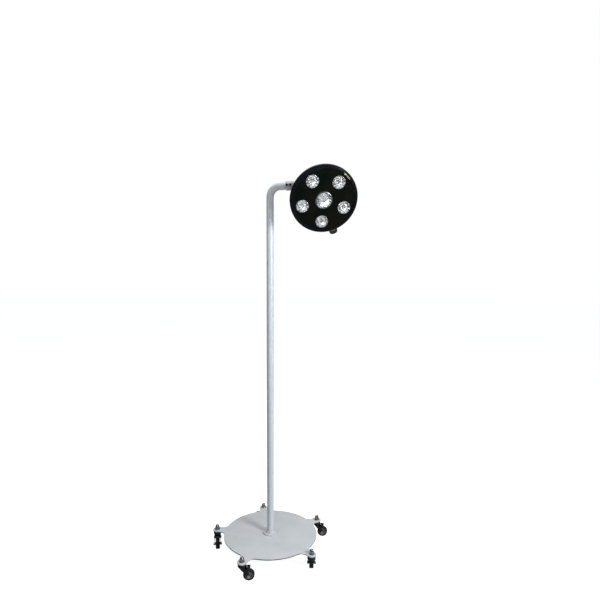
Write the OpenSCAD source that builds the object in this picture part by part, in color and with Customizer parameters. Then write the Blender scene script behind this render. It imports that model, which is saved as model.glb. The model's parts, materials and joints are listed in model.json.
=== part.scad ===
// Mobile surgical light: a round weighted plate on five braked swivel casters,
// a one-piece bent pole, and a flat round head of LED modules on a pan and tilt joint.
// Millimetres. The origin is on the floor under the pole, +Z is up, and the
// horizontal arm runs along +X. Angles are counted from the arm, anticlockwise.

/* [Base plate] */
// Radius of the round plate without its ears
plate_r = 225; // [200:1:240]
// Thickness of the plate
plate_t = 6; // [5:0.5:8]
// Distance from the pole to each caster bolt
ear_reach = 266; // [258:1:285]
// Radius of the round end of each ear
ear_r = 21; // [19:0.5:24]
// Radius of the hollow fillets at the root of each ear
ear_fillet = 28; // [15:1:35]
// Direction of the first ear
ear_turn = 48; // [0:1:71]

/* [Casters] */
// Rolling radius of the wheels
wheel_r = 25; // [24:0.5:26]
// Width of the tyres
tyre_w = 20; // [18:0.5:21]
// Height from the floor to the underside of the plate
caster_h = 79; // [78:0.5:84]
// Distance of each axle behind its swivel axis
trail = 30; // [28:0.5:32]
// Direction in which each caster trails, one for each ear
caster_turn = [10, 215, -61, 20, 106]; // [-180:1:360]

/* [Pole and arm] */
// Outer diameter of the pole
pole_d = 32; // [30:0.5:34]
// Wall of the pole
pole_wall = 1.5; // [1.2:0.1:2]
// Height of the arm's centre line above the floor
arm_h = 1701; // [1500:1:1900]
// Bend radius of the pole's centre line
pole_bend = 44; // [40:1:60]
// Distance from the pole to the pan axis
arm_reach = 233; // [225:1:300]
// Where the pole tube ends along the arm
tube_end = 92; // [85:1:110]
// Height of the cord gland above the plate
gland_rise = 62; // [40:1:200]
// Direction in which the cord gland points
gland_turn = 110; // [0:1:359]

/* [Head] */
// Outer radius of the head
head_r = 140; // [138:0.5:142]
// Radius of the circle of outer lens modules
ring_r = 91; // [90:0.5:92]
// Radius of an outer lens
lens_r = 25; // [24:0.5:25.5]
// Radius of the centre lens
centre_lens_r = 31; // [30:0.5:32]
// Direction of the dimmer, from straight down towards the right of the face
dimmer_turn = 22.5; // [0:0.5:35]
// Direction of the blank badge, from straight up towards the right of the face
badge_turn = 40; // [0:1:90]

/* [Head joint] */
// Height of the tilt axis below the arm's centre line
head_drop = 40; // [40:0.5:44]
// Distance from the tilt axis to the face of the head
head_back = 72; // [71:0.5:76]
// Direction in which the head faces at rest
head_pan = -65; // [-90:1:90]
// Angle of the beam below the horizon at rest
head_tilt = 31.5; // [0:0.5:90]

/* [Hidden] */
$fn = 64;
ears = 5;
modules = 5;
play = 0.05;              // radial running fit of pins and shafts
gap = 0.3;                // air between parts that pass each other
far = 1000;               // larger than any part it trims
plate_top = caster_h + plate_t;
pole_r = pole_d / 2;
bore_r = pole_r - pole_wall;

// Fasteners
stem_r = 6;
stud_up = 14;             // stem above the plate
washer_t = 2;
m8_r = 4;
m8_hex_r = 7.5;           // corner radius of a 13 mm hexagon
m12_hex_r = 10.97;        // corner radius of a 19 mm hexagon
m6_r = 3;
m5_r = 2.5;

// Pole foot
flange_r = 35;
flange_t = 6;
hub_r = 21;
hub_h = 16;
seat = 2;                 // floor of the flange under the tube
flange_screw_ring = 26.5;
flange_screws_n = 4;

// Caster
race_r = 17;
race_t = 5;
neck_r = 8;
crown_r = 19;
crown_low = 60;
crown_floor = 64.3;
kingpin_r = 11.5;
pocket_r = 12.6;
leg_in = 13;
leg_out = 15.5;
leg_boss = 8.5;
pedal_x = 13;
pedal_z = 53;
pedal_pin_r = 3;
core_r = 17.5;
caster_top = caster_h - race_t;

// Arm and pan joint
arm_r = 14.4;
arm_bore = 10;
arm_in = 50;
sleeve_r = 19.5;
sleeve_from = 76;
sleeve_to = 108;
boss_r = 17;
boss_half = 18;
crown_h = 8.3;
pan_washer = 1.5;
tongue_half = 6.7;
cheek_in = 7;
cheek_out = 12;
tilt_z = arm_h - head_drop;

// Head, in its own frame: the face is z = 0 and the light leaves along +Z
rim_back = -14;
panel_r = 126;
lip_r = 124;
lip_z = 2.5;
back_z = -46;
shell_t = 2.5;
back_flat = 60;
shoulder_r = 128;
shoulder_z = -20;
board_z = -26.6;
board_t = 1.6;
board_r = 98;
driver_z = -41;
bracket_t = 5;
dimmer_z = -20;
dimmer_r = 18;
pod_r = 17;
fins = 30;

// Points of an arc about c, from angle a to angle b
function arc(c, r, a, b, n = 8) =
    [for (i = [0:n]) c + r * [cos(a + (b - a) * i / n), sin(a + (b - a) * i / n)]];

// Where a line from p touches the circle of radius r about c, on side s
function touch(p, c, r, s) =
    let (d = p - c, a = atan2(d[1], d[0]) + s * acos(r / norm(d)))
    c + r * [cos(a), sin(a)];

// ---------- base ----------

function ear_angle(k) = ear_turn + 360 / ears * (k - 1);

module at_ear(k) {
    rotate([0, 0, ear_angle(k)]) translate([ear_reach, 0, 0]) children();
}

function turned(p, a) = [p[0] * cos(a) - p[1] * sin(a), p[0] * sin(a) + p[1] * cos(a)];

// One ear along +X with its root fillets, and the edge of the disc up to the next ear
function ear_points() =
    let (
        side = ear_r + ear_fillet,
        root = sqrt(pow(plate_r + ear_fillet, 2) - side * side),
        edge = atan2(side, root),
        step = (360 / ears - 2 * edge) / 20
    )
    concat(arc([root, -side], ear_fillet, 180 - edge, 90),
        arc([ear_reach, 0], ear_r, -90, 90, 30),
        arc([root, side], ear_fillet, 270, 180 + edge),
        arc([0, 0], plate_r, edge + step, 360 / ears - edge - step, 18));

module base_plate() {
    color("#c6cbcc") difference() {
        translate([0, 0, caster_h]) linear_extrude(plate_t)
            polygon([for (k = [1:ears], p = ear_points()) turned(p, ear_angle(k))]);
        for (k = [1:ears]) at_ear(k)
            translate([0, 0, caster_h - 1]) cylinder(r = stem_r + 0.5, h = plate_t + 2);
        at_flange_screws() {
            translate([0, 0, -1]) cylinder(r = m6_r + play, h = plate_t + 2);
            translate([0, 0, -1]) cylinder(r1 = 7.1, r2 = m6_r, h = 4.1);
        }
    }
}

module at_flange_screws() {
    for (i = [0:flange_screws_n - 1])
        rotate([0, 0, 45 + i * 360 / flange_screws_n])
            translate([flange_screw_ring, 0, caster_h]) children();
}

module pole_flange() {
    color("#c6cbcc") translate([0, 0, plate_top]) difference() {
        rotate_extrude() polygon([[0, 0], [flange_r, 0], [flange_r, flange_t - 2],
            [flange_r - 2, flange_t], [hub_r + 1.5, flange_t], [hub_r, flange_t + 1.5],
            [hub_r, hub_h - 3], [hub_r - 3, hub_h], [0, hub_h]]);
        translate([0, 0, seat]) cylinder(r = pole_r + play, h = hub_h);
        translate([0, 0, -plate_top]) at_flange_screws()
            translate([0, 0, plate_t - 1]) cylinder(r = m6_r + play, h = 5.5);
    }
}

module flange_screws() {
    color("#5c5f63") at_flange_screws() difference() {
        union() {
            cylinder(r1 = 6, r2 = m6_r, h = 3);
            cylinder(r = m6_r, h = plate_t + 4);
        }
        translate([0, 0, -1]) cylinder(r = 2.3, h = 2.6, $fn = 6);
    }
}

// Solid of radius r along the pole, its bend and the arm
module bent_rod(r, from, to) {
    rise = arm_h - pole_bend;
    translate([0, 0, from]) cylinder(r = r, h = rise - from);
    translate([pole_bend, 0, rise]) rotate([90, 0, 0]) rotate([0, 0, 90])
        rotate_extrude(angle = 90) translate([pole_bend, 0]) circle(r);
    translate([pole_bend, 0, arm_h]) rotate([0, 90, 0]) cylinder(r = r, h = to - pole_bend);
}

module pole_tube() {
    color("#c2c7ca") difference() {
        bent_rod(pole_r, plate_top + seat, tube_end);
        bent_rod(bore_r, plate_top, tube_end + 1);
        at_gland() cylinder(r = 7.1, h = pole_r + 5);
    }
}

// Local +Z points out of the pole along the gland
module at_gland() {
    translate([0, 0, plate_top + gland_rise]) rotate([0, 0, gland_turn])
        rotate([0, 90, 0]) children();
}

module cord_gland() {
    color("#202124") at_gland() difference() {
        union() {
            translate([0, 0, 9]) cylinder(r = 7, h = 12);
            translate([0, 0, pole_r]) cylinder(r = 10, h = 5, $fn = 6);
            translate([0, 0, pole_r + 5]) cylinder(r1 = 9, r2 = 7, h = 9);
        }
        translate([0, 0, 8]) cylinder(r = 4, h = 30);
    }
}

// Supply lead, from the gland up through the pole and the arm
module pole_lead() {
    color("#2b2b2e") bent_rod(3, plate_top + gland_rise + 4, arm_reach - 20);
}

module caster_stems() {
    color("#3a3c3f") for (k = [1:ears]) at_ear(k) {
        translate([0, 0, caster_top]) cylinder(r = race_r, h = race_t);
        translate([0, 0, crown_floor - gap]) cylinder(r = neck_r, h = caster_top - crown_floor + gap);
        translate([0, 0, crown_floor - gap - 3]) cylinder(r = kingpin_r, h = 3);
        translate([0, 0, caster_h]) cylinder(r = stem_r, h = plate_t + stud_up);
    }
}

module nut_washers() {
    color("#9a9da0") for (k = [1:ears]) at_ear(k) translate([0, 0, plate_top]) difference() {
        cylinder(r = 13, h = washer_t);
        translate([0, 0, -1]) cylinder(r = stem_r + 0.3, h = washer_t + 2);
    }
}

module dome_nut(hex_r, dome_r, hex_h, dome_h, thread_r, depth) {
    difference() {
        union() {
            cylinder(r = hex_r, h = hex_h, $fn = 6);
            cylinder(r = dome_r, h = dome_h);
            translate([0, 0, dome_h]) intersection() {
                sphere(dome_r);
                cylinder(r = dome_r + 1, h = dome_r + 1);
            }
        }
        translate([0, 0, -1]) cylinder(r = thread_r + play, h = depth + 1);
    }
}

module cap_nuts() {
    color("#6f7276") for (k = [1:ears]) at_ear(k) translate([0, 0, plate_top + washer_t])
        dome_nut(m12_hex_r, 8.6, 11, 14, stem_r, stud_up - washer_t + 1);
}

// ---------- casters ----------

// Swivel axis of a caster, with its trailing direction along local +X
module at_caster(k) {
    at_ear(k) rotate([0, 0, caster_turn[k - 1] - ear_angle(k)]) children();
}

// Wheel centre, with the axle along local +Z
module at_wheel(k) {
    at_caster(k) translate([trail, 0, wheel_r]) rotate([90, 0, 0]) children();
}

module caster_leg() {
    axle = [trail, wheel_r];
    front = [-11, crown_low];
    rear = [11, crown_low + 5];
    difference() {
        union() {
            polygon([[-11, crown_low + 8], front, touch(front, axle, leg_boss, 1), axle,
                touch(rear, axle, leg_boss, -1), rear, [11, crown_low + 8]]);
            translate(axle) circle(leg_boss);
        }
        translate(axle) circle(m8_r + play);
    }
}

module caster_fork(k) {
    color("#17181a") at_caster(k) {
        difference() {
            union() {
                translate([0, 0, crown_low + 2]) cylinder(r = crown_r, h = caster_top - gap - crown_low - 4);
                translate([0, 0, crown_low]) cylinder(r1 = crown_r - 2, r2 = crown_r, h = 2);
                translate([0, 0, caster_top - gap - 2]) cylinder(r1 = crown_r, r2 = crown_r - 2, h = 2);
                for (s = [-1, 1]) translate([0, s > 0 ? leg_out : -leg_in, 0])
                    rotate([90, 0, 0]) linear_extrude(leg_out - leg_in) caster_leg();
            }
            translate([0, 0, crown_floor - 1]) cylinder(r = neck_r + play, h = 20);
            translate([0, 0, crown_low - 1]) cylinder(r = pocket_r, h = crown_floor - crown_low + 1);
        }
        for (s = [-1, 1]) translate([pedal_x, s * leg_out, pedal_z]) rotate([-90 * s, 0, 0])
            cylinder(r = pedal_pin_r, h = 3.2);
        // Sloping web that ties the legs together, ahead of the wheel
        translate([0, leg_in + 0.3, 0]) rotate([90, 0, 0]) linear_extrude(2 * leg_in + 0.6)
            polygon([[-10.5, crown_low + 0.4], [1.1, 46.7], [3, 48.3], [-7.2, crown_low + 0.4]]);
    }
}

module caster_axle(k) {
    color("#8b8e91") at_wheel(k) {
        translate([0, 0, -leg_out]) cylinder(r = m8_r, h = 2 * leg_out + 6.5);
        translate([0, 0, -leg_out - 5]) cylinder(r = m8_hex_r, h = 5, $fn = 6);
        translate([0, 0, leg_out]) difference() {
            cylinder(r = m8_hex_r, h = 5.5, $fn = 6);
            translate([0, 0, -1]) cylinder(r = m8_r + play, h = 8);
        }
    }
}

module pedal_cheek() {
    difference() {
        union() {
            translate([pedal_x, pedal_z]) circle(5.5);
            polygon([[pedal_x - 3.5, pedal_z + 4.2], [23.4, 60], [36.7, 57.7], [36.3, 55.3],
                [29, 55], [pedal_x + 2.5, pedal_z - 4.9]]);
        }
        translate([pedal_x, pedal_z]) circle(pedal_pin_r + play);
    }
}

module caster_pedal(k) {
    color("#1d1e20") at_caster(k) {
        for (y = [-16, 18]) translate([0, y, 0]) rotate([90, 0, 0]) linear_extrude(2) pedal_cheek();
        translate([23, -18, 57.6]) rotate([0, 10, 0]) cube([13.5, 36, 2.5]);
        translate([27, -8, 53.8]) cube([6, 16, 3.2]);
    }
}

module caster_hub(k) {
    boss = leg_in - gap;
    color("#8d9092") at_wheel(k) difference() {
        union() {
            rotate_extrude() polygon([[m8_r - 1, -boss], [7, -boss], [7.6, -3], [14, -3],
                [14.8, -8.5], [core_r - play, -8.5], [core_r - play, 8.5], [14.8, 8.5],
                [14, 3], [7.6, 3], [7, boss], [m8_r - 1, boss]]);
            for (i = [0:5]) rotate([0, 0, 60 * i]) translate([6, -1, -6]) cube([9, 2, 12]);
        }
        translate([0, 0, -boss - 1]) cylinder(r = m8_r + play, h = 2 * boss + 2);
    }
}

module caster_tyre(k) {
    half = tyre_w / 2;
    round_r = 4.5;
    color("#141415") at_wheel(k) rotate_extrude($fn = 96) polygon(concat(
        [[core_r, -half + 1]], [[core_r + 1, -half]],
        arc([wheel_r - round_r, -half + round_r], round_r, -90, 0),
        arc([wheel_r - round_r, half - round_r], round_r, 0, 90),
        [[core_r + 1, half]], [[core_r, half - 1]]));
}

// ---------- arm and pan joint ----------

// Local +Z runs outwards along the arm
module along_arm(x) {
    translate([x, 0, arm_h]) rotate([0, 90, 0]) children();
}

module arm_sleeve() {
    long = sleeve_to - sleeve_from;
    color("#8f9497") difference() {
        along_arm(sleeve_from) {
            cylinder(r1 = sleeve_r - 1.5, r2 = sleeve_r, h = 1.5);
            translate([0, 0, 1.5]) cylinder(r = sleeve_r, h = long - 4.5);
            translate([0, 0, long - 3]) cylinder(r1 = sleeve_r, r2 = sleeve_r - 3, h = 3);
        }
        along_arm(sleeve_from - 1) cylinder(r = pole_r + play, h = tube_end - sleeve_from + 1);
        along_arm(sleeve_from) cylinder(r = arm_r + play, h = long + 1);
        at_sleeve_screws() cylinder(r = m6_r + play, h = 30);
    }
}

module at_sleeve_screws() {
    for (x = [84, 100]) translate([x, 0, arm_h]) rotate([90, 0, 0]) children();
}

module sleeve_screws() {
    color("#1c1d1f") intersection() {
        at_sleeve_screws() difference() {
            union() {
                cylinder(r = m6_r, h = sleeve_r + 1);
                translate([0, 0, sleeve_r]) cylinder(r = 5, h = 3);
            }
            translate([0, 0, sleeve_r + 1]) cylinder(r = 2.3, h = 3, $fn = 6);
        }
        difference() {
            along_arm(sleeve_from) cylinder(r = 40, h = sleeve_to - sleeve_from);
            along_arm(sleeve_from - 1) cylinder(r = pole_r + 0.1, h = tube_end - sleeve_from + 1);
            along_arm(sleeve_from - 1) cylinder(r = arm_r + 0.1, h = far);
        }
    }
}

module head_arm() {
    color("#b9bec1") difference() {
        union() {
            along_arm(arm_in) cylinder(r = arm_r, h = arm_reach - arm_in);
            translate([arm_reach, 0, arm_h - boss_half]) {
                cylinder(r1 = boss_r - 1.5, r2 = boss_r, h = 1.5);
                translate([0, 0, 1.5]) cylinder(r = boss_r, h = 2 * boss_half - 3);
                translate([0, 0, 2 * boss_half - 1.5]) cylinder(r1 = boss_r, r2 = boss_r - 1.5, h = 1.5);
            }
        }
        along_arm(arm_in - 1) cylinder(r = arm_bore, h = arm_reach - arm_in);
        translate([arm_reach, 0, arm_h - 30]) cylinder(r = neck_r + play, h = 60);
    }
}

// Pan axis, with local +X where the beam points and the tilt axis along local Y
module at_pan() {
    translate([arm_reach, 0, arm_h]) rotate([0, 0, head_pan]) children();
}

fork_low = -boss_half - pan_washer - 0.2 - crown_h;

module pan_spindle() {
    color("#a5a8ab") at_pan() difference() {
        union() {
            translate([0, 0, fork_low]) cylinder(r = neck_r, h = boss_half + 0.2 - fork_low);
            translate([0, 0, boss_half]) cylinder(r = stem_r, h = 11);
        }
        translate([0, 0, fork_low - 1]) cylinder(r = m6_r, h = 80);
    }
}

module pan_washers() {
    color("#e7e4da") at_pan() {
        translate([0, 0, -boss_half - 0.2 - pan_washer]) difference() {
            cylinder(r = 14, h = pan_washer);
            translate([0, 0, -1]) cylinder(r = neck_r + play, h = 4);
        }
        translate([0, 0, boss_half + 0.2]) difference() {
            cylinder(r = 14, h = pan_washer);
            translate([0, 0, -1]) cylinder(r = stem_r + play, h = 4);
        }
    }
}

module spindle_cap() {
    color("#2a2b2d") at_pan() translate([0, 0, boss_half + 0.2 + pan_washer])
        dome_nut(m12_hex_r, 8.6, 7, 9, stem_r, 10);
}

module cheek_outline() {
    difference() {
        union() {
            circle(12);
            translate([-12, 0]) square([24, head_drop + fork_low + 2]);
        }
        circle(m8_r + play);
    }
}

module tilt_fork() {
    color("#b9bec1") at_pan() difference() {
        union() {
            translate([0, 0, fork_low]) cylinder(r = boss_r, h = crown_h);
            for (y = [-cheek_in, cheek_out]) translate([0, y, -head_drop])
                rotate([90, 0, 0]) linear_extrude(cheek_out - cheek_in) cheek_outline();
        }
        translate([0, 0, fork_low - 1]) cylinder(r = neck_r + play, h = 20);
    }
}

// Tilt axis: local +Z runs along it
module at_tilt() {
    at_pan() translate([0, 0, -head_drop]) rotate([-90, 0, 0]) children();
}

module tilt_bolt() {
    color("#6f7276") at_tilt() difference() {
        union() {
            translate([0, 0, -cheek_out - 8]) cylinder(r = m8_r, h = 2 * cheek_out + 8);
            translate([0, 0, cheek_out]) cylinder(r = 6.5, h = 8);
        }
        translate([0, 0, cheek_out + 4]) cylinder(r = 3.4, h = 5, $fn = 6);
    }
}

module tilt_nut() {
    color("#6f7276") at_tilt() translate([0, 0, -cheek_out - 7]) difference() {
        cylinder(r = m8_hex_r, h = 7, $fn = 6);
        translate([0, 0, -1]) cylinder(r = m8_r + play, h = 9);
    }
}

// ---------- head ----------

// Face of the head: +Z is the beam, +Y is up across the face, +X is its right
module at_head() {
    at_pan() translate([0, 0, -head_drop]) rotate([0, head_tilt, 0])
        rotate([90, 0, 90]) translate([0, 0, head_back]) children();
}

module head_bracket() {
    foot = back_z - bracket_t;
    color("#26272a") at_head() difference() {
        union() {
            translate([0, 0, foot]) cylinder(r = 24, h = bracket_t);
            translate([-tongue_half, -11, -head_back]) cube([2 * tongue_half, 22, head_back + foot + 1]);
            translate([-tongue_half, 0, -head_back]) rotate([0, 90, 0]) cylinder(r = 11, h = 2 * tongue_half);
        }
        translate([-20, 0, -head_back]) rotate([0, 90, 0]) cylinder(r = m8_r + play, h = 40);
        at_bracket_screws() translate([0, 0, -1]) cylinder(r = m5_r + 0.3, h = bracket_t + 2);
    }
}

module at_bracket_screws() {
    for (i = [0:3]) rotate([0, 0, 45 + 90 * i]) translate([18.4, 0, back_z - bracket_t]) children();
}

module bracket_screws() {
    color("#8b8e91") at_head() at_bracket_screws() difference() {
        union() {
            translate([0, 0, -2.6]) cylinder(r1 = 3.6, r2 = 4.6, h = 2.6);
            cylinder(r = m5_r, h = bracket_t + 4);
        }
        translate([0, 0, -3]) cylinder(r = 1.8, h = 2, $fn = 6);
    }
}

// Half section of the domed back, grown inwards by t
module back_section(t) {
    slope = (shoulder_z - back_z) / (shoulder_r - back_flat);
    lift = t * sqrt(1 + slope * slope);
    top = rim_back + (t > 0 ? 1 : 0);
    polygon([[0, back_z + t], [back_flat - t * slope / 2, back_z + t],
        [back_flat + 8, back_z + lift + 8 * slope],
        [shoulder_r - t / 2, shoulder_z + lift], [head_r - 4 - t, shoulder_z + lift + 2.2],
        [head_r - 1.5 - t, min(rim_back, shoulder_z + lift + 4.5)], [head_r - 1.5 - t, top], [0, top]]);
}

// Radial frame of the dimmer: local +Z points out of the rim
module at_dimmer(r) {
    rotate([0, 0, dimmer_turn - 90]) translate([r, 0, dimmer_z]) rotate([0, 90, 0]) children();
}

module below_rim() {
    intersection() {
        children();
        translate([-far / 2, -far / 2, rim_back - 200]) cube([far, far, 200]);
    }
}

module cooling_fins() {
    intersection() {
        for (i = [0:fins - 1]) rotate([0, 0, (i + 0.5) * 360 / fins])
            translate([66, -1.1, back_z - 4]) cube([50, 2.2, 40]);
        rotate_extrude() polygon([[64, back_z - 2], [68, back_z - 3.2], [112, back_z + 14.5],
            [114, back_z + 18], [114, back_z + 22], [64, back_z + 2.6]]);
    }
}

module rear_housing() {
    color("#1b1c1e") at_head() {
        difference() {
            union() {
                rotate_extrude($fn = 180) back_section(0);
                below_rim() at_dimmer(104) cylinder(r = pod_r, h = head_r - 104);
                cooling_fins();
            }
            rotate_extrude($fn = 180) back_section(shell_t);
            translate([0, 0, 1]) below_rim() at_dimmer(100) cylinder(r = pod_r - 2.5, h = head_r - 102.5);
            at_bracket_screws() cylinder(r = m5_r + play, h = 20);
            at_dimmer(130) cylinder(r = 4.5 + play, h = 20);
            at_housing_screws() translate([0, 0, -8]) cylinder(r = 1.8, h = 30);
            at_housing_screws() translate([0, 0, -8]) cylinder(r = 3.9, h = 9.5);
        }
        for (i = [0:modules - 1]) rotate([0, 0, 90 + 72 * i])
            translate([66, 0, back_z + shell_t]) cylinder(r = 4, h = board_z - back_z - shell_t);
    }
}

// Screws at the rim, entering from behind
module at_housing_screws() {
    for (i = [0:modules - 1]) rotate([0, 0, 90 + 72 * i]) translate([131.5, 0, shoulder_z]) children();
}

module housing_screws() {
    color("#8b8e91") at_head() at_housing_screws() difference() {
        union() {
            translate([0, 0, -1]) cylinder(r1 = 2.8, r2 = 3.5, h = 2.2);
            cylinder(r = 1.5, h = 14);
        }
        translate([0, 0, -2]) cylinder(r = 1.2, h = 2.2, $fn = 6);
    }
}

module front_bezel() {
    round_r = 6.5;
    color("#111213") at_head() difference() {
        rotate_extrude($fn = 180) polygon(concat(
            [[panel_r + 0.2, rim_back], [panel_r + 0.2, 0.1], [lip_r, 0.1], [lip_r, lip_z - 0.8],
             [lip_r + 0.8, lip_z]],
            arc([head_r - round_r, lip_z - round_r], round_r, 90, 0),
            [[head_r, rim_back + 1], [head_r - 1, rim_back]]));
        at_housing_screws() cylinder(r = 1.55, h = 14.5);
    }
}

module at_modules() {
    for (i = [0:modules - 1]) rotate([0, 0, -90 + 360 / modules * i]) translate([ring_r, 0, 0]) children();
}

module front_panel() {
    color("#0d0e0e") at_head() translate([0, 0, -3]) difference() {
        cylinder(r = panel_r, h = 3, $fn = 180);
        at_modules() translate([0, 0, -1]) cylinder(r = lens_r + 2, h = 5);
        translate([0, 0, -1]) cylinder(r = centre_lens_r + 2, h = 5);
    }
}

// A moulded lens: shallow dome in front, tapering back to a hollow over its diode
module tir_lens(r, depth, tip, dome) {
    bulge = (r * r + dome * dome) / (2 * dome);
    half = asin(r / bulge);
    rotate_extrude() polygon(concat(
        [[0, -depth + 6], [3, -depth + 5], [4.2, -depth], [tip, -depth],
         [(r + tip) / 2 + 2, -depth / 2], [r, -2], [r, 0]],
        [for (i = [1:6]) bulge * [sin(half * (1 - i / 6)), cos(half * (1 - i / 6))]
            - [0, bulge - dome]]));
}

module outer_lenses() {
    color("#dfe6e8") at_head() at_modules() translate([0, 0, 0.2])
        tir_lens(lens_r, 21.5, 9, 1.8);
}

module centre_lens() {
    color("#e6ebec") at_head() translate([0, 0, 3]) tir_lens(centre_lens_r, 24.5, 12, 2.4);
}

module centre_ring() {
    color("#77797b") at_head() rotate_extrude($fn = 96) polygon([
        [centre_lens_r + 0.3, 0.7], [centre_lens_r + 0.3, 4], [centre_lens_r + 1.2, 4.6],
        [centre_lens_r + 4.6, 1.6], [centre_lens_r + 4.6, 0.1], [centre_lens_r + 2, 0.1],
        [centre_lens_r + 2, 0.7]]);
}

// Bright cup behind a lens, with a thin collar round its edge
module lens_cup(r, depth, tip) {
    rotate_extrude() polygon([[r + 0.3, 0.6], [r + 1.6, 0.6], [r + 1.6, -2.5],
        [(r + tip) / 2 + 4.2, -depth / 2], [tip + 2, -depth], [tip + 0.8, -depth],
        [(r + tip) / 2 + 2.9, -depth / 2], [r + 0.3, -2.2]]);
}

module reflectors() {
    color("#d8dadb") at_head() {
        at_modules() lens_cup(lens_r, 21.5, 9);
        lens_cup(centre_lens_r, 22, 12);
    }
}

module led_board() {
    color("#e9ebe6") at_head() translate([0, 0, board_z]) difference() {
        cylinder(r = board_r, h = board_t, $fn = 120);
        translate([38, 0, -1]) cylinder(r = 5, h = board_t + 2);
    }
}

module led_chip() {
    translate([-3.5, -3.5, 0]) cube([7, 7, 1]);
    translate([0, 0, 1]) intersection() {
        sphere(2.6);
        translate([0, 0, -0.1]) cylinder(r = 3, h = 3);
    }
}

module led_chips() {
    color("#f2d36b") at_head() translate([0, 0, board_z + board_t]) {
        led_chip();
        at_modules() led_chip();
    }
}

module driver_board() {
    color("#1f6b3a") at_head() translate([-30, -22, driver_z]) {
        cube([60, 44, 1.6]);
        translate([6, 8, 1.6]) cube([16, 14, 9]);
        translate([30, 27, 1.6]) cylinder(r = 5, h = 10);
        translate([44, 27, 1.6]) cylinder(r = 5, h = 10);
        translate([28, 6, 1.6]) cube([20, 8, 3]);
        translate([50, 14, 1.6]) cube([8, 8, 6]);
    }
}

module dimmer_pot() {
    color("#9a9da0") at_head() {
        at_dimmer(112) cylinder(r = 10, h = 12);
        at_dimmer(124) cylinder(r = 4.5, h = head_r + 3 - 124);
        at_dimmer(head_r + 3) cylinder(r = 3, h = 9);
    }
}

module dimmer_ring() {
    color("#a9acad") at_head() at_dimmer(head_r + 0.2) difference() {
        cylinder(r1 = dimmer_r, r2 = dimmer_r - 0.6, h = 2);
        translate([0, 0, -1]) cylinder(r = 4.5 + play, h = 4);
    }
}

module dimmer_knob() {
    from = head_r + 2.5;
    high = 17;
    edge = 5;
    color("#101112") at_head() at_dimmer(from) difference() {
        rotate_extrude() polygon(concat([[0, 0], [dimmer_r - 0.8, 0], [dimmer_r, 1]],
            arc([dimmer_r - 0.6 - edge, high - edge], edge, 0, 90), [[0, high + 0.6]]));
        translate([0, 0, -1]) cylinder(r = 4.5 + gap, h = 1.8);
        translate([0, 0, -1]) cylinder(r = 3 + play, h = 11);
        for (i = [0:17]) rotate([0, 0, 20 * i]) translate([dimmer_r + 0.9, 0, 1.5])
            cylinder(r = 1.6, h = high);
    }
}

module badge_strip() {
    color("#b5b78c") at_head() rotate([0, 0, -badge_turn]) translate([0, 0, lip_z])
        intersection() {
            rotate_extrude($fn = 180) translate([lip_r + 2, 0]) square([6, 0.8]);
            translate([-17, lip_r - 10, -1]) cube([34, 30, 4]);
        }
}

base_plate();
pole_flange();
flange_screws();
pole_tube();
cord_gland();
pole_lead();
cap_nuts();
nut_washers();
caster_stems();
arm_sleeve();
sleeve_screws();
head_arm();
pan_spindle();
pan_washers();
spindle_cap();
tilt_fork();
tilt_bolt();
tilt_nut();
head_bracket();
bracket_screws();
rear_housing();
housing_screws();
front_bezel();
front_panel();
outer_lenses();
centre_lens();
centre_ring();
reflectors();
led_board();
led_chips();
driver_board();
dimmer_pot();
dimmer_ring();
dimmer_knob();
badge_strip();
for (k = [1:ears]) {
    caster_fork(k);
    caster_axle(k);
    caster_pedal(k);
    caster_hub(k);
    caster_tyre(k);
}
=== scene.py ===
"""Looks of a mobile surgical light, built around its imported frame.

Objects are in metres with +Z up. Shapes are drawn in millimetres in local frames, which come from the
packed joints and nodes, and shape() scales each to metres.
"""
import json
import math

import bmesh
import bpy
from mathutils import Matrix, Vector
from mathutils.geometry import tessellate_polygon


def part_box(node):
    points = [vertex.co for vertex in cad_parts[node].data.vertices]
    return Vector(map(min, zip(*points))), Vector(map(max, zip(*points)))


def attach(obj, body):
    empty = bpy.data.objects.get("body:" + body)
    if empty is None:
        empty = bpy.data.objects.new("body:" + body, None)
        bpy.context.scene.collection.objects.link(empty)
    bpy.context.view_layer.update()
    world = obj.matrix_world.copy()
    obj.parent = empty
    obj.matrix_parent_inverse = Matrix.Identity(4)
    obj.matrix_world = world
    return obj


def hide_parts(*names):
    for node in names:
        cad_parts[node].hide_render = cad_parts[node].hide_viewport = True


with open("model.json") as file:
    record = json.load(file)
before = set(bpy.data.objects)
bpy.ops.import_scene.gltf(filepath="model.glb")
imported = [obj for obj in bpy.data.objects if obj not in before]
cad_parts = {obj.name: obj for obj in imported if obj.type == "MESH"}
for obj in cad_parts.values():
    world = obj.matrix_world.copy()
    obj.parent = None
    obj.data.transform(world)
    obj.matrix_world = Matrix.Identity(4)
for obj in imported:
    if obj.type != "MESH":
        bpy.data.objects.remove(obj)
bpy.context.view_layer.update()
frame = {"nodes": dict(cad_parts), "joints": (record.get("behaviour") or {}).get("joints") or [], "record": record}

MM = 0.001
TURN = 2 * math.pi
joints = {joint["name"]: joint for joint in frame["joints"]}
CASTERS = range(1, 6)


# ---------- local frames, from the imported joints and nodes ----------

def axes(origin, x, z):
    """Matrix of a local frame from its origin, its Z direction and roughly its X direction."""
    z = Vector(z).normalized()
    x = Vector(x)
    x = (x - x.dot(z) * z).normalized()
    matrix = Matrix((x, z.cross(x), z)).transposed().to_4x4()
    matrix.translation = Vector(origin)
    return matrix


def local_box(node, matrix=Matrix()):
    """Lowest and highest corner of a CAD node in a local frame, in millimetres."""
    back = matrix.inverted()
    points = [back @ v.co / MM for v in frame["nodes"][node].data.vertices]
    low = Vector([min(p[i] for p in points) for i in range(3)])
    high = Vector([max(p[i] for p in points) for i in range(3)])
    return low, high


def where(joint):
    return Vector(joints[joint]["pos_m"])


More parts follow.
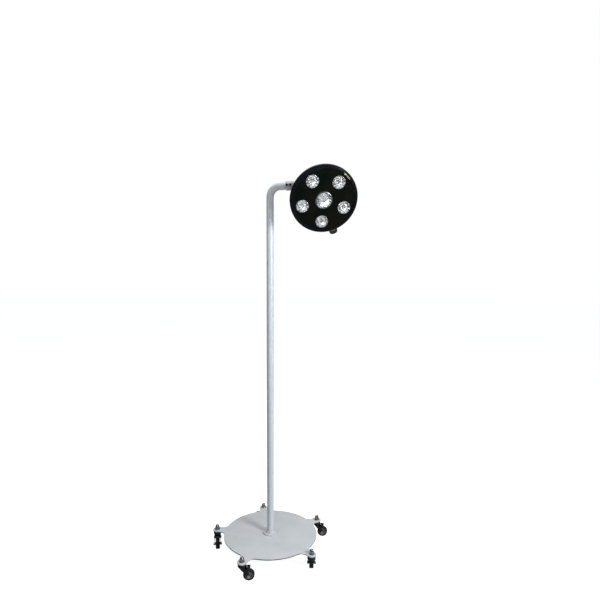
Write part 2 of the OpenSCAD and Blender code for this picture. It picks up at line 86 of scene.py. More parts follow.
def caster_frame(k):
    """On the floor under the swivel axis, with +X towards the axle."""
    pivot = where(f"caster_{k}_turn")
    return axes((pivot.x, pivot.y, 0), where(f"caster_{k}_roll") - pivot, (0, 0, 1))


def wheel_frame(k):
    """At the wheel's centre, with +Z along the axle towards its nut."""
    centre = where(f"caster_{k}_roll")
    return axes(centre, centre - where(f"caster_{k}_turn"), -Vector(joints[f"caster_{k}_roll"]["axis"]))


PLATE_LOW, PLATE_HIGH = local_box("base_plate")
PLATE_TOP = PLATE_HIGH.z


def ear_frame(k):
    """On top of the plate at a caster's bolt."""
    pivot = where(f"caster_{k}_turn")
    return axes((pivot.x, pivot.y, PLATE_TOP * MM), (pivot.x, pivot.y, 0), (0, 0, 1))


tilt_point = where("head_tilt")
panel_low, panel_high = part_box("front_panel")
beam = ((panel_low + panel_high) / 2 - tilt_point).normalized()
right = Vector(joints["head_tilt"]["axis"])
if beam.cross(right).z < 0:
    right = -right
HEAD_BACK = max((v.co - tilt_point).dot(beam) for v in frame["nodes"]["front_panel"].data.vertices) / MM
HEAD = axes(tilt_point + beam * HEAD_BACK * MM, right, beam)
PAN = axes(where("head_pan"), (beam.x, beam.y, 0), (0, 0, 1))
TILT = axes(tilt_point, beam, right)
DIMMER = axes(where("dimmer_turn"), -beam, joints["dimmer_turn"]["axis"])
ARM = axes((0, 0, where("head_pan").z), (0, 1, 0), (1, 0, 0))


# ---------- mesh building ----------

def rounded(points, steps=4):
    """A profile whose corners (x, y, radius) become arcs; a corner (x, y) stays sharp."""
    found = []
    for i, point in enumerate(points):
        here = Vector(point[:2])
        radius = point[2] if len(point) > 2 else 0
        before = Vector(points[i - 1][:2]) - here
        after = Vector(points[(i + 1) % len(points)][:2]) - here
        if radius == 0 or before.length == 0 or after.length == 0:
            found.append(here)
            continue
        half = before.angle(after) / 2
        reach = min(radius / math.tan(half), before.length * 0.5, after.length * 0.5)
        start, end = here + before.normalized() * reach, here + after.normalized() * reach
        for j in range(steps + 1):
            t = j / steps
            found.append(start.lerp(here, t).lerp(here.lerp(end, t), t))
    return found


def bar(left, right, half, radius, steps=4):
    """A rectangle with rounded corners that reaches `half` to each side of the X axis."""
    corners = [(left, -half), (right, -half), (right, half), (left, half)]
    return rounded([(*corner, radius) for corner in corners], steps)


def arc(centre, radius, start, end, steps=12):
    """Points of an arc, with its angles in degrees."""
    angles = [math.radians(start + (end - start) * i / steps) for i in range(steps + 1)]
    return [Vector((centre[0] + radius * math.cos(a), centre[1] + radius * math.sin(a))) for a in angles]


def hexagon(corner, z, turned, top=True):
    """Section of a hexagon nut or head at the edge that a chamfer to radius `turned` has cut."""
    flat = corner * math.cos(TURN / 12)

    def section(angle):
        radius = flat / math.cos((angle + TURN / 12) % (TURN / 6) - TURN / 12)
        drop = max(0.0, radius - turned) * math.tan(TURN / 12)
        return radius, z - drop if top else z + drop
    return section


def revolve(sections, segments=96, closed=False):
    """Solid about +Z. A section is (radius, z), or a function of the angle that gives them."""
    mesh = bmesh.new()
    rings = []
    for section in sections:
        if not callable(section) and section[0] < 1e-6:
            rings.append([mesh.verts.new((0, 0, section[1]))])
            continue
        ring = []
        for i in range(segments):
            angle = TURN * i / segments
            radius, z = section(angle) if callable(section) else section
            ring.append(mesh.verts.new((radius * math.cos(angle), radius * math.sin(angle), z)))
        rings.append(ring)
    pairs = list(zip(rings, rings[1:])) + ([(rings[-1], rings[0])] if closed else [])
    for lower, upper in pairs:
        for i in range(segments):
            j = (i + 1) % segments
            corners = [lower[i % len(lower)], lower[j % len(lower)]]
            corners += [upper[j % len(upper)], upper[i % len(upper)]]
            corners = list(dict.fromkeys(corners))
            if len(corners) > 2:
                mesh.faces.new(corners)
    if not closed:
        for ring in (rings[0], rings[-1]):
            if len(ring) > 1:
                mesh.faces.new(ring)
    bmesh.ops.recalc_face_normals(mesh, faces=mesh.faces)
    return mesh


def inset(outline, distance):
    """An outline moved to its left, which is into the material."""
    found = []
    for i, point in enumerate(outline):
        a = (point - outline[i - 1]).normalized()
        b = (outline[(i + 1) % len(outline)] - point).normalized()
        left_a, left_b = Vector((-a.y, a.x)), Vector((-b.y, b.x))
        found.append(point + (left_a + left_b) / (1 + left_a.dot(left_b)) * distance)
    return found


def slab(outline, low, high, edge=0.5, holes=(), steps=3):
    """Flat solid with rounded edges, from an anticlockwise outline and round holes (x, y, radius)."""
    loops = [[Vector(p[:2]) for p in outline]]
    loops += [arc((x, y), radius, 360, 360 / 48, 47) for x, y, radius in holes]
    angles = [math.pi / 2 * i / steps for i in range(steps + 1)]
    levels = [(edge * (1 - math.sin(a)), low + edge * (1 - math.cos(a))) for a in angles]
    levels += [(edge * (1 - math.sin(a)), high - edge * (1 - math.cos(a))) for a in reversed(angles)]
    mesh = bmesh.new()
    caps = {0: [], len(levels) - 1: []}
    for loop in loops:
        rings = [[mesh.verts.new((p.x, p.y, z)) for p in inset(loop, away)] for away, z in levels]
        for lower, upper in zip(rings, rings[1:]):
            for i in range(len(loop)):
                mesh.faces.new((lower[i - 1], lower[i], upper[i], upper[i - 1]))
        for level in caps:
            caps[level].append(rings[level])
    for rings in caps.values():
        flat = [v for ring in rings for v in ring]
        for triangle in tessellate_polygon([[v.co for v in ring] for ring in rings]):
            mesh.faces.new([flat[i] for i in triangle])
    bmesh.ops.recalc_face_normals(mesh, faces=mesh.faces)
    return mesh


def sweep(points, radius, inner=0.0, side=Vector((0, 1, 0)), segments=64):
    """Round rod or tube along a flat path whose plane is square to `side`."""
    mesh = bmesh.new()
    angles = [TURN * j / segments for j in range(segments)]

    def skin(r):
        rings = []
        for i, point in enumerate(points):
            along = (points[min(i + 1, len(points) - 1)] - points[max(i - 1, 0)]).normalized()
            up = along.cross(side)
            circle = [point + side * r * math.cos(a) + up * r * math.sin(a) for a in angles]
            rings.append([mesh.verts.new(p) for p in circle])
        for lower, upper in zip(rings, rings[1:]):
            for j in range(segments):
                mesh.faces.new((lower[j - 1], lower[j], upper[j], upper[j - 1]))
        return rings
    outer = skin(radius)
    hollow = skin(inner) if inner else None
    for end in (0, -1):
        if hollow:
            for j in range(segments):
                mesh.faces.new((outer[end][j - 1], outer[end][j], hollow[end][j], hollow[end][j - 1]))
        else:
            mesh.faces.new(outer[end])
    bmesh.ops.recalc_face_normals(mesh, faces=mesh.faces)
    return mesh


def moved(mesh, matrix):
    bmesh.ops.transform(mesh, matrix=matrix, verts=mesh.verts)
    if matrix.determinant() < 0:
        bmesh.ops.reverse_faces(mesh, faces=mesh.faces)
    return mesh


def shift(x=0, y=0, z=0):
    return Matrix.Translation((x, y, z))


def spin(degrees, axis="Z"):
    return Matrix.Rotation(math.radians(degrees), 4, axis)


def mesh_data(mesh, name="part"):
    """Mesh data from a drawn mesh, which is freed."""
    data = bpy.data.meshes.new(name)
    mesh.to_mesh(data)
    mesh.free()
    return data


def joined(*meshes):
    """One mesh that holds several."""
    whole = bmesh.new()
    for mesh in meshes:
        data = mesh_data(mesh)
        whole.from_mesh(data)
        bpy.data.meshes.remove(data)
    return whole


def fused(*meshes):
    """One solid made of several that overlap."""
    objects = []
    for mesh in meshes:
        objects.append(bpy.data.objects.new("part", mesh_data(mesh)))
        bpy.context.scene.collection.objects.link(objects[-1])
    base = objects[0]
    for other in objects[1:]:
        union = base.modifiers.new("union", "BOOLEAN")
        union.operation = "UNION"
        union.solver = "EXACT"
        union.object = other
    bpy.context.view_layer.update()
    solved = base.evaluated_get(bpy.context.evaluated_depsgraph_get())
    result = bpy.data.meshes.new_from_object(solved)
    whole = bmesh.new()
    whole.from_mesh(result)
    bpy.data.meshes.remove(result)
    for thing in objects:
        data = thing.data
        bpy.data.objects.remove(thing)
        bpy.data.meshes.remove(data)
    return whole


def shape(mesh, crease=32):
    """Turns a drawn mesh in millimetres into mesh data in metres, smooth up to an angle."""
    data = mesh_data(moved(mesh, Matrix.Scale(MM, 4)), "shape")
    data.shade_smooth()
    data.set_sharp_from_angle(angle=math.radians(crease))
    return data


def place(name, data, matrix, body, slot, *nodes):
    """Puts a piece in the scene with its slot's material, on its body and for the nodes it replaces."""
    data = data.copy()
    data.transform(matrix)
    data.materials.append(MATERIALS[slot])
    piece = bpy.data.objects.new(name, data)
    bpy.context.scene.collection.objects.link(piece)
    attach(piece, body)
    if nodes:
        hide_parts(*nodes)


# ---------- materials ----------

class Finish:
    """A node material under construction: the shader, and patterns in the piece's own coordinates."""

    def __init__(self, name, roughness=0.5, metallic=0.0, **sockets):
        self.material = bpy.data.materials.new(name)
        self.material.use_nodes = True
        self.nodes = self.material.node_tree.nodes
        self.links = self.material.node_tree.links
        self.shader = self.nodes["Principled BSDF"]
        self.place = self.nodes.new("ShaderNodeTexCoord").outputs["Object"]
        self.shader.inputs["Roughness"].default_value = roughness
        self.shader.inputs["Metallic"].default_value = metallic
        for socket, value in sockets.items():
            self.shader.inputs[socket.replace("_", " ").title()].default_value = value

    def link(self, source, target):
        self.links.new(source, target)
        return self

    def texture(self, kind, size, stretch=(1, 1, 1)):
        """A texture whose features are about `size` millimetres across."""
        mapping = self.nodes.new("ShaderNodeMapping")
        mapping.inputs["Scale"].default_value = [s / (size * MM) for s in stretch]
        texture = self.nodes.new(kind)
        texture.inputs["Scale"].default_value = 1.0
        self.link(self.place, mapping.inputs["Vector"])
        self.link(mapping.outputs["Vector"], texture.inputs["Vector"])
        return texture

    def noise(self, size, detail=3.0, stretch=(1, 1, 1)):
        """Cloudy blotches."""
        texture = self.texture("ShaderNodeTexNoise", size, stretch)
        texture.inputs["Detail"].default_value = detail
        return texture.outputs["Fac"]

    def cells(self, size, feature="F1"):
        """Packed cells, as a distance inside each one."""
        texture = self.texture("ShaderNodeTexVoronoi", size)
        texture.feature = feature
        return texture.outputs["Distance"]

    def calculate(self, operation, *values):
        """One step of arithmetic on numbers or sockets."""
        node = self.nodes.new("ShaderNodeMath")
        node.operation = operation
        for socket, value in zip(node.inputs, values):
            if isinstance(value, (int, float)):
                socket.default_value = value
            else:
                self.link(value, socket)
        return node.outputs[0]

    def ramp(self, source, low, high, at=(0.35, 0.65)):
        """A pattern turned into a smooth change between two numbers."""
        node = self.nodes.new("ShaderNodeMapRange")
        node.interpolation_type = "SMOOTHSTEP"
        for socket, value in zip(("From Min", "From Max", "To Min", "To Max"), (*at, low, high)):
            node.inputs[socket].default_value = value
        self.link(source, node.inputs["Value"])
        return node.outputs["Result"]

    def blend(self, share, first, second):
        """A mix of two colours, each a triple or a socket."""
        node = self.nodes.new("ShaderNodeMix")
        node.data_type = "RGBA"
        self.link(share, node.inputs[0])
        for socket, colour in ((node.inputs[6], first), (node.inputs[7], second)):
            if isinstance(colour, tuple):
                socket.default_value = (*colour, 1)
            else:
                self.link(colour, socket)
        return node.outputs[2]

    def colour(self, source):
        return self.link(source, self.shader.inputs["Base Color"])

    def rough(self, source):
        return self.link(source, self.shader.inputs["Roughness"])

    def bump(self, source, height):
        """Relief of about `height` millimetres from a pattern; calls add up."""
        node = self.nodes.new("ShaderNodeBump")
        node.inputs["Distance"].default_value = height * MM
        normal = self.shader.inputs["Normal"]
        if normal.is_linked:
            self.link(normal.links[0].from_socket, node.inputs["Normal"])
        self.link(source, node.inputs["Height"])
        return self.link(node.outputs["Normal"], normal)


def powder_coat(name, light, dark, roughness=0.34, specular=0.5, edge_shade=None):
    """Baked powder paint: orange peel, faint cloudiness and a slightly uneven gloss.

    The optional last argument gives the colour of painted shade on an upright edge, and how far that edge is from
    the middle.
    """
    f = Finish(name, roughness)
    f.shader.inputs["Specular IOR Level"].default_value = specular
    paint = f.blend(f.ramp(f.noise(90, 4), 0, 1, (0.3, 0.7)), light, dark)
    if edge_shade:
        # Painted shade: a near-black colour on the upright edge at the given radius, standing in for the shade
        # under it
        paint = f.blend(painted_edge_shade(f, edge_shade[1]), paint, edge_shade[0])
    f.colour(paint)
    f.rough(f.ramp(f.noise(25, 3), roughness - 0.05, roughness + 0.08))
    f.bump(f.noise(2.2, 2), 0.10).bump(f.noise(0.5, 2), 0.015)
    return f.material


def painted_edge_shade(f, rim):
    """Mask for painted shade: the upright faces that are about `rim` millimetres from the middle."""
    normal = f.nodes.new("ShaderNodeNewGeometry").outputs["Normal"]
    facing = f.nodes.new("ShaderNodeSeparateXYZ")
    f.link(normal, facing.inputs[0])
    upright = f.ramp(f.calculate("ABSOLUTE", facing.outputs["Z"]), 1, 0, (0.2, 0.6))
    reach = f.nodes.new("ShaderNodeVectorMath")
    reach.operation = "LENGTH"
    f.link(f.place, reach.inputs[0])
    away = f.calculate("ABSOLUTE", f.calculate("SUBTRACT", reach.outputs["Value"], rim * MM))
    near = f.ramp(away, 1, 0, (14 * MM, 21 * MM))
    return f.calculate("MULTIPLY", upright, near)


def moulded(name, light, dark, roughness=0.45, grain=0.7, height=0.05, specular=0.35):
    """Moulded plastic: fine spark-eroded grain, with rubbed patches that shine a little more."""
    f = Finish(name, roughness)
    f.shader.inputs["Specular IOR Level"].default_value = specular
    f.colour(f.blend(f.ramp(f.noise(14, 4), 0, 1), light, dark))
    f.rough(f.ramp(f.noise(9, 4), roughness - 0.1, roughness + 0.1))
    f.bump(f.cells(grain), height).bump(f.noise(grain / 2, 2), height / 2)
    return f.material


def plated(name, light, dark, roughness=0.22, stretch=(1, 1, 1), size=3):
    """Plated or turned steel: fine tool marks and a few duller, darker spots."""
    f = Finish(name, roughness, 1.0)
    f.colour(f.blend(f.ramp(f.noise(size * 2.5, 5), 0, 1, (0.4, 0.7)), light, dark))
    f.rough(f.ramp(f.noise(size, 5), roughness - 0.07, roughness + 0.14))
    f.bump(f.noise(size * 0.2, 2, stretch), 0.02)
    return f.material


def rubber(name, light, dark):
    """Tyre rubber: matt, dusty in patches, with a faint pebbled skin."""
    f = Finish(name, 0.7)
    f.shader.inputs["Specular IOR Level"].default_value = 0.25
    f.colour(f.blend(f.ramp(f.noise(7, 5), 0, 1, (0.45, 0.75)), light, dark))
    f.rough(f.ramp(f.noise(4, 4), 0.55, 0.85))
    f.bump(f.cells(0.6), 0.04)
    return f.material


def gloss(name, light, dark, roughness=0.08):
    """Polished sheet: nearly flat, with wiped smears that dull the shine."""
    f = Finish(name, roughness)
    f.shader.inputs["Specular IOR Level"].default_value = 0.05
    f.colour(f.blend(f.ramp(f.noise(60, 3), 0, 1), light, dark))
    f.rough(f.ramp(f.noise(30, 5, (1, 3, 1)), roughness, roughness + 0.12, (0.45, 0.8)))
    f.bump(f.noise(45, 2), 0.05)
    return f.material


def clear_lens(name):
    """Clear acrylic with a trace of haze and moulding waves."""
    f = Finish(name, 0.03, transmission_weight=1.0)
    f.shader.inputs["IOR"].default_value = 1.49
    f.colour(f.blend(f.ramp(f.noise(12, 2), 0, 1), (0.98, 0.99, 1.0), (0.92, 0.95, 0.96)))
    f.rough(f.ramp(f.noise(6, 3), 0.01, 0.06))
    f.bump(f.noise(5, 2), 0.03)
    return f.material


def mirror_cup(name):
    """Vacuum-metallised reflector: bright, with a fine orange peel."""
    f = Finish(name, 0.1, 1.0)
    f.colour(f.blend(f.ramp(f.noise(4, 4), 0, 1), (0.98, 0.98, 0.98), (0.90, 0.91, 0.92)))
    f.rough(f.ramp(f.noise(2, 3), 0.06, 0.2))
    f.bump(f.noise(1.5, 2), 0.02)
    return f.material


def circuit(name, base, track, size=5):
    """Circuit board: solder mask with the shadow of its copper tracks."""
    f = Finish(name, 0.4, coat_weight=0.3)
    tracks = f.ramp(f.cells(size, "DISTANCE_TO_EDGE"), 1, 0, (0.02, 0.06))
    f.colour(f.blend(tracks, base, track))
    f.rough(f.ramp(f.noise(4), 0.3, 0.5))
    f.bump(tracks, 0.05)
    return f.material


def phosphor(name):
    """LED emitter: yellow phosphor with the grid of its dies."""
    f = Finish(name, 0.35)
    f.colour(f.blend(f.ramp(f.cells(1.1, "DISTANCE_TO_EDGE"), 1, 0, (0.03, 0.08)),
                     (0.70, 0.66, 0.46), (0.55, 0.52, 0.42)))
    f.rough(f.ramp(f.noise(0.8), 0.25, 0.5))
    f.bump(f.noise(0.5), 0.02)
    return f.material


PLATE_R = 225
FINISHES = {
    # The plate's round upright edge carries painted shade, a near-black band set by the last entry
    "plate_paint": (powder_coat, (0.54, 0.56, 0.58), (0.51, 0.53, 0.54), 0.4, 0.5,
                    ((0.10, 0.11, 0.12), PLATE_R)),
    "pole_paint": (powder_coat, (0.62, 0.65, 0.68), (0.60, 0.63, 0.66), 0.3),
    "arm_paint": (powder_coat, (0.52, 0.54, 0.56), (0.48, 0.50, 0.52), 0.3),
    "sleeve_metal": (powder_coat, (0.60, 0.61, 0.62), (0.46, 0.47, 0.48), 0.35),
    "caster_black": (moulded, (0.008, 0.008, 0.009), (0.014, 0.015, 0.016), 0.38, 0.7, 0.05, 0.25),
    "stem_steel": (plated, (0.32, 0.32, 0.33), (0.2, 0.2, 0.21), 0.35),
    "nut_steel": (plated, (0.30, 0.31, 0.32), (0.12, 0.12, 0.13), 0.16),
    "screw_steel": (plated, (0.50, 0.51, 0.52), (0.32, 0.33, 0.34), 0.34),
    "black_screw": (plated, (0.05, 0.05, 0.055), (0.03, 0.03, 0.03), 0.35),
    "tyre_rubber": (rubber, (0.009, 0.009, 0.010), (0.022, 0.022, 0.023)),
    "hub_plastic": (moulded, (0.22, 0.23, 0.235), (0.18, 0.185, 0.19), 0.42),
    "pedal_black": (moulded, (0.009, 0.009, 0.010), (0.016, 0.016, 0.018), 0.45, 0.9, 0.08, 0.25),
    "gland_black": (moulded, (0.02, 0.02, 0.021), (0.03, 0.03, 0.032), 0.5),
    "cable_black": (moulded, (0.02, 0.02, 0.022), (0.03, 0.03, 0.03), 0.6),
    "washer_white": (moulded, (0.80, 0.79, 0.74), (0.72, 0.71, 0.66), 0.4),
    "shell_black": (moulded, (0.013, 0.013, 0.014), (0.020, 0.021, 0.022), 0.42, 0.8, 0.06),
    "bezel_black": (powder_coat, (0.004, 0.004, 0.006), (0.007, 0.007, 0.010), 0.35, 0.05),
    "panel_black": (gloss, (0.002, 0.004, 0.003), (0.005, 0.005, 0.003), 0.12),
    "lens_clear": (clear_lens,),
    "reflector_silver": (mirror_cup,),
    "ring_grey": (plated, (0.35, 0.36, 0.37), (0.22, 0.23, 0.24), 0.3),
    "board_white": (circuit, (0.80, 0.81, 0.78), (0.70, 0.70, 0.64), 14),
    "chip_yellow": (phosphor,),
    "board_green": (circuit, (0.012, 0.11, 0.035), (0.03, 0.19, 0.06)),
    "dimmer_metal": (plated, (0.55, 0.56, 0.57), (0.4, 0.41, 0.42), 0.3),
    "dimmer_ring_grey": (plated, (0.55, 0.56, 0.57), (0.42, 0.43, 0.44), 0.28),
    "knob_black": (moulded, (0.010, 0.010, 0.011), (0.018, 0.018, 0.019), 0.35, 0.6, 0.04),
    "badge_blank": (plated, (0.52, 0.52, 0.30), (0.36, 0.36, 0.20), 0.35, (1, 6, 1)),
}
MATERIALS = {name: finish(name, *values) for name, (finish, *values) in FINISHES.items()}
for subpart in frame["record"]["subparts"]:
    node = frame["nodes"][subpart["node"]]
    node.data.materials.clear()
    node.data.materials.append(MATERIALS[subpart["material_slot"]])


# ---------- base ----------

EAR_R, EAR_FILLET = 21, 28
STEM_HOLE_R = 6.5
EAR_REACH = where("caster_1_turn").xy.length / MM


def plate_outline():
    """Round plate with an ear at each caster and hollow fillets at the ear roots."""
    side = EAR_R + EAR_FILLET
    root = math.sqrt((PLATE_R + EAR_FILLET) ** 2 - side ** 2)
    edge = math.degrees(math.atan2(side, root))
    gap = 360 / len(CASTERS)
    ear = arc((root, -side), EAR_FILLET, 180 - edge, 90, 14)
    ear += arc((EAR_REACH, 0), EAR_R, -90, 90, 36)
    ear += arc((root, side), EAR_FILLET, 270, 180 + edge, 14)
    ear += arc((0, 0), PLATE_R, edge + 0.8, gap - edge - 0.8, 60)
    points = []
    for k in CASTERS:
        direction = where(f"caster_{k}_turn").xy
        turn = Matrix.Rotation(math.atan2(direction.y, direction.x), 2)
        points += [turn @ p for p in ear]
    return points


def make_plate():
    bolts = [(*(where(f"caster_{k}_turn").xy / MM), STEM_HOLE_R) for k in CASTERS]
    plate = slab(plate_outline(), PLATE_LOW.z, PLATE_HIGH.z, 1.2, bolts, 4)
    place("rounded_plate", shape(plate), Matrix(), "base", "plate_paint", "base_plate")


def make_flange():
    low, high = local_box("pole_flange")
    bore = POLE_R + 0.05
    foot, rim, lip = low.z + 0.2, low.z + 6, high.z - 0.9
    profile = rounded([(bore, foot), (high.x, foot), (high.x, rim, 2.2), (23.5, rim, 2.6),
                       (21, high.z, 2.6), (18.6, high.z, 0.8), (18.2, lip, 0.4), (bore, lip)])
    flange = shape(revolve(profile, 128, True))
    place("turned_pole_flange", flange, Matrix(), "base", "plate_paint", "pole_flange")


POLE_LOW, POLE_HIGH = local_box("pole_tube")
POLE_R = -POLE_LOW.x
POLE_WALL, POLE_BEND = 1.5, 44
ARM_H = where("head_pan").z / MM


def make_pole():
    bend = arc((POLE_BEND, ARM_H - POLE_BEND), POLE_BEND, 180, 90, 40)
    path = [Vector((0, 0, POLE_LOW.z))]
    path += [Vector((p.x, 0, p.y)) for p in bend]
    path += [Vector((POLE_HIGH.x, 0, ARM_H))]
    pole = shape(sweep(path, POLE_R, POLE_R - POLE_WALL, segments=96))
    place("bent_pole", pole, Matrix(), "base", "pole_paint", "pole_tube")


def make_gland():
    """Hexagon body and ribbed dome nut, with a rubber seal round the empty cord hole."""
    low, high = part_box("cord_gland")
    out = ((low + high) / 2).xy
    outward = axes((0, 0, (low.z + high.z) / 2), (0, 0, 1), (out.x, out.y, 0))
    size = local_box("cord_gland", outward)[1].z

    def ribs(radius, z):
        return lambda a: (radius + 0.35 * math.cos(12 * a), z)
    nut = POLE_R + 5
    body = revolve([(4, 9), (7, 9), (7, POLE_R), (9.4, POLE_R), hexagon(10, POLE_R, 9.4, False),
                    hexagon(10, nut, 9.4), (9.2, nut), (8.7, nut + 0.4), ribs(8.4, nut + 1.2),
                    ribs(7.9, size - 4.5), (7.4, size - 3.4), (6.6, size - 0.8), (5.9, size),
                    (4.9, size), (4.6, size - 0.6), (4.6, size - 1.6), (4, size - 1.6)], 96, True)
    place("ribbed_gland", shape(body), outward, "base", "gland_black", "cord_gland")


# Radius of a cap nut over the corners of its hexagon, and of its dome
NUT_R, DOME_R = 10.97, 8.6


def dome_nut(corner, dome, hex_h, dome_h, z=0.0):
    """Domed cap nut: chamfered hexagon, a short neck and a round cap."""
    cap = [(p.x, z + dome_h + p.y) for p in arc((0, 0), dome, 0, 90, 16)]
    cap[-1] = (0, cap[-1][1])
    neck = corner * 0.88
    return revolve([(neck, z), hexagon(corner, z, neck, False), hexagon(corner, z + hex_h, neck),
                    (neck, z + hex_h), (dome + 0.35, z + hex_h + 0.15), (dome, z + hex_h + 0.6), *cap])


def washer(outer, inner, low, high, edge=0.3):
    corners = [(inner, low, edge), (outer, low, edge), (outer, high, edge), (inner, high, edge)]
    return revolve(rounded(corners, 3), 72, True)


def make_ear_hardware():
    """Washer and domed nut on each ear, with the caster's fixed race and stem below."""
    washer_t = local_box("nut_washers")[1].z - PLATE_TOP
    dome_top = local_box("cap_nuts")[1].z - PLATE_TOP
    race_low = local_box("caster_stems")[0].z - PLATE_TOP
    race_top = PLATE_LOW.z - PLATE_HIGH.z
    profile = rounded([(0, race_low), (11.5, race_low, 0.6), (11.5, race_low + 3, 0.6),
                       (8, race_low + 3.1), (8, race_top - 5), (14.6, race_top - 5),
                       (15.2, race_top - 4.3, 0.2), (17, race_top - 4.3, 0.8), (17, race_top, 1.2),
                       (6, race_top), (6, 12.6, 0.8), (0, 12.6)])
    washers, nuts, stems = [], [], []
    for k in CASTERS:
        ear = ear_frame(k)
        ear.translation /= MM
        washers.append(moved(washer(13, 6.4, 0, washer_t), ear))
        nut = dome_nut(NUT_R, DOME_R, 11, dome_top - washer_t - DOME_R, washer_t)
        nuts.append(moved(nut, ear @ spin(11 * k)))
        stems.append(moved(revolve(profile), ear))
    place("plain_washers", shape(joined(*washers)), Matrix(), "base", "screw_steel", "nut_washers")
    place("domed_cap_nuts", shape(joined(*nuts)), Matrix(), "base", "nut_steel", "cap_nuts")
    place("races_and_stems", shape(joined(*stems)), Matrix(), "base", "stem_steel", "caster_stems")


# ---------- casters, drawn once and used five times ----------

TRAIL = (where("caster_1_roll") - where("caster_1_turn")).xy.length / MM
WHEEL_R = where("caster_1_roll").z / MM
PEDAL_X = (where("caster_1_lock") - where("caster_1_turn")).xy.length / MM
PEDAL_Z = where("caster_1_lock").z / MM
FORK_HIGH = local_box("caster_1_fork", caster_frame(1))[1]
LEG_OUT, LEG_IN, BOSS = 15.5, 13, 8.5
CROWN_LOW = 60
UPRIGHT = Matrix.Rotation(math.pi / 2, 4, "X")


def leg_outline():
    """Raked fork leg from the crown down to the round end at the axle, in the caster's X and Z."""
    axle = Vector((TRAIL, WHEEL_R))

    def tangent(x, z, side):
        to = Vector((x, z)) - axle
        return math.degrees(math.atan2(to.y, to.x) + side * math.acos(BOSS / to.length))
    front, rear = tangent(-11, CROWN_LOW, 1), tangent(11, CROWN_LOW + 5, -1)
    points = arc(axle, BOSS, front, rear + 360, 28)
    points += rounded([(11, CROWN_LOW + 5, 3), (11, CROWN_LOW + 10, 1.5), (-11, CROWN_LOW + 10, 1.5),
                       (-11, CROWN_LOW, 3)])
    return points


def fork_mesh():
    """Pressed crown with a rolled lip, two raked legs and the pivots of the brake pedal."""
    top = FORK_HIGH.z
    profile = rounded([(8.1, 64.3, 0.3), (12.6, 64.3, 0.6), (12.6, CROWN_LOW, 0.4),
                       (16.5, CROWN_LOW, 1.2), (17.6, CROWN_LOW + 3.2, 1), (18.9, CROWN_LOW + 4.4, 1),
                       (19, top - 2.6, 1.2), (16.4, top, 1.6), (14.2, top, 0.4), (13.6, top - 0.7, 0.4),
                       (10.4, top - 0.7, 0.4), (9.8, top, 0.4), (8.1, top, 0.3)], 4)
    parts = [revolve(profile, 96, True)]
    for side in (-1, 1):
        low, high = (LEG_IN, LEG_OUT) if side < 0 else (-LEG_OUT, -LEG_IN)
        leg = slab(leg_outline(), low, high, 0.7, [(TRAIL, WHEEL_R, 4.05)])
        parts.append(moved(leg, UPRIGHT))
        root, tip = LEG_OUT - 1, LEG_OUT + 3.2
        pin = revolve(rounded([(0, root), (3, root), (3, tip, 0.5), (0, tip)]), 36)
        parts.append(moved(pin, shift(PEDAL_X, 0, PEDAL_Z) @ spin(-90 * side, "X")))
    web = rounded([(-10.5, CROWN_LOW + 0.4), (1.1, 46.7, 1), (3, 48.3, 1), (-7.2, CROWN_LOW + 0.4)])
    parts.append(moved(slab(web, -LEG_IN - 0.2, LEG_IN + 0.2, 0.1), UPRIGHT))
    return shape(joined(*parts))


def axle_mesh():
    """Hexagon bolt through the fork, with its nut, in the wheel's frame."""
    face = -LEG_OUT - 5
    head = revolve([(6.6, -LEG_OUT), hexagon(7.5, -LEG_OUT, 6.9, False), hexagon(7.5, face, 6.7, False),
                    (6.6, face), (5.4, face), (5.1, face + 0.3), (0, face + 0.3)])
    face = LEG_OUT + 5.5
    nut = revolve([(4.05, LEG_OUT), (6.7, LEG_OUT), hexagon(7.5, LEG_OUT, 6.7, False),
                   hexagon(7.5, face, 6.7), (6.7, face), (5.6, face), (5.2, face - 0.4),
                   (4.05, face - 0.4)], 96, True)
    root, tip = -LEG_OUT - 4, LEG_OUT + 6.5
    shank = revolve(rounded([(0, root), (4, root), (4, tip, 0.7), (0, tip)]), 48)
    return shape(joined(head, nut, shank))


def pedal_mesh():
    """Two cheeks on the fork's pivots, a sloping ribbed tread over the wheel and the shoe for the tyre."""
    cheek = arc((PEDAL_X, PEDAL_Z), 5.5, 125, 297, 20)
    cheek += rounded([(29, 55, 2), (36.3, 55.3, 0.5), (36.7, 57.7, 0.5), (23.4, 60, 3)])
    pivot = [(PEDAL_X, PEDAL_Z, 3.05)]
    parts = [moved(slab(cheek, low, low + 2, 0.5, pivot), UPRIGHT) for low in (-18, 16)]
    tread = [slab(rounded([(0, -18, 1), (13.5, -18, 4), (13.5, 18, 4), (0, 18, 1)], 6), 0, 2.5, 0.7)]
    for x in (3, 6, 9):
        tread.append(slab(bar(x - 0.8, x + 0.8, 13.5, 0.7, 3), 2, 3.2, 0.4))
    parts.append(moved(joined(*tread), shift(23, 0, 57.6) @ spin(10, "Y")))
    parts.append(slab(bar(27, 33, 8, 1.2), 53.8, 57, 0.6))
    return shape(joined(*parts))


def hub_mesh():
    """Moulded hub: bearing bosses, a dished web with a raised ring, six ribs a side and the rim."""
    boss = LEG_IN - 0.5
    half = [(4.1, 0.01), (4.1, boss), (6.2, boss, 0.6), (7.2, 4.4, 1.2), (9.4, 3, 0.6), (9.7, 4.6, 0.4),
            (11.2, 4.6, 0.4), (11.5, 3, 0.6), (13.9, 3, 1.2), (14.6, 8.5, 0.6), (17.4, 8.5, 0.5),
            (17.4, 0.01)]
    front = [Vector(p[:2]) for p in rounded(half, 3)]
    profile = front + [Vector((p.x, -p.y)) for p in reversed(front)]
    parts = [revolve(profile, 96, True)]
    for i in range(6):
        for side in (-1, 1):
            rib = rounded([(6.4, -0.9, 0.3), (14.8, -0.7, 0.3), (14.8, 0.7, 0.3), (6.4, 0.9, 0.3)], 2)
            rib = slab(rib, 2.5, 6.2, 0.35)
            parts.append(moved(rib, spin(60 * i) @ spin(0 if side > 0 else 180, "X")))
    return shape(joined(*parts))


